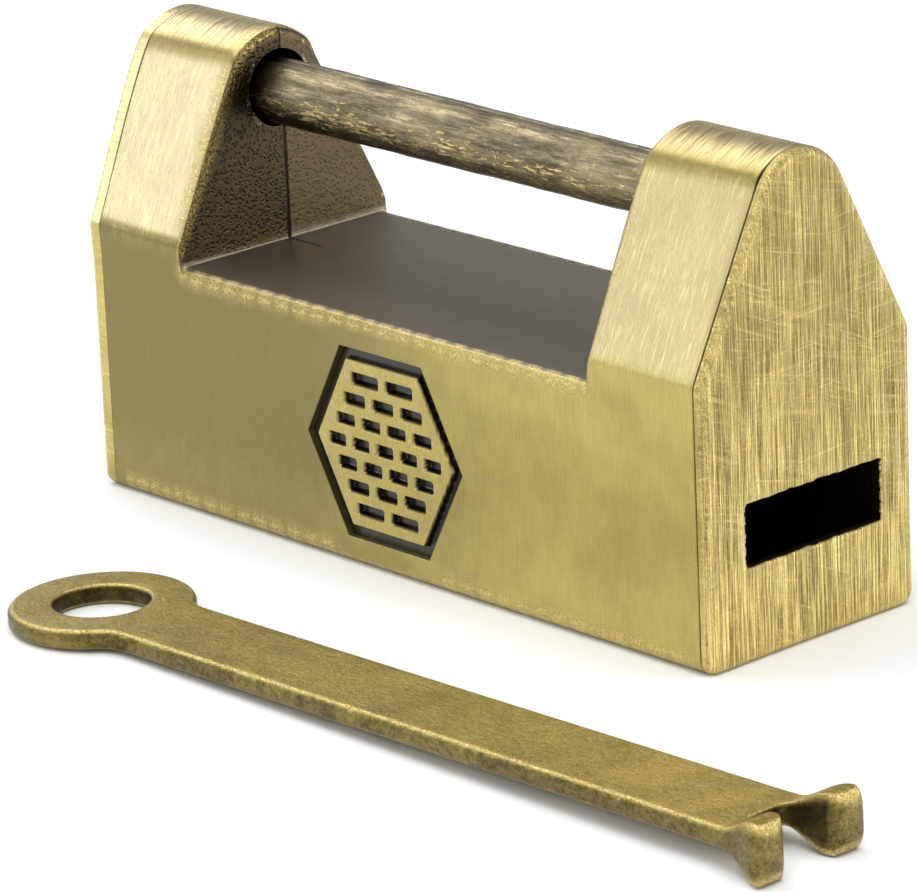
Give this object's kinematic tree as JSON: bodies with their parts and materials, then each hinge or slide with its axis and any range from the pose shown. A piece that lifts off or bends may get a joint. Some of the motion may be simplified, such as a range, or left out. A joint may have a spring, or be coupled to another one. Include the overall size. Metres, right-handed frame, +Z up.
{
  "type": "slide padlock",
  "caption": "Gabled brass padlock whose round shackle bar slides out endwise on a spring-barb bolt, with its flat forked key lying beside it.",
  "frame": {"origin": "middle of the flat base that the lock stands on", "axes": "+X along the shackle bar towards the end plate with the keyhole, -Y out of the decorated front face, +Z up"},
  "size_m": [0.073, 0.0366, 0.0275],
  "materials": {
    "cast_brass": "satin antiqued cast brass, brushed, darkened in the recesses and bright on worn edges",
    "brushed_brass": "coarsely brushed antiqued brass with dark lines in the scratches",
    "dark_brass": "dark bronze-brown oxide with gold showing where it is worn",
    "key_brass": "mottled olive-gold antiqued brass with bright rounded edges",
    "spring_brass": "plain rolled spring brass, slightly tarnished",
    "pin_steel": "plain drawn steel wire"
  },
  "bodies": {
    "lock_body": {"front_casting": "cast_brass", "back_casting": "cast_brass", "keyhole_plate": "brushed_brass", "catch_plate": "spring_brass", "dowel_left_tower": "pin_steel", "dowel_left_deck": "pin_steel", "dowel_right_deck": "pin_steel", "dowel_right_tower": "pin_steel", "plate_pin_front": "pin_steel", "plate_pin_back": "pin_steel"},
    "shackle": {"sliding_end_plate": "brushed_brass", "shackle_bar": "dark_brass", "stem": "dark_brass", "leaf_spring_front": "spring_brass", "leaf_spring_back": "spring_brass", "leaf_rivet_1": "spring_brass", "leaf_rivet_2": "spring_brass"},
    "loose_key": {"key": "key_brass"}
  },
  "joints": [
    {"name": "shackle_slide", "type": "slide", "parent": "lock_body", "child": "shackle", "axis": [-1, 0, 0], "range_m": [0, 0.038], "deforming": ["leaf_spring_front", "leaf_spring_back"]},
    {"name": "key_lift", "type": "slide", "parent": "lock_body", "child": "loose_key", "axis": [0, 0, 1], "range_m": [0, 0.05]}
  ]
}
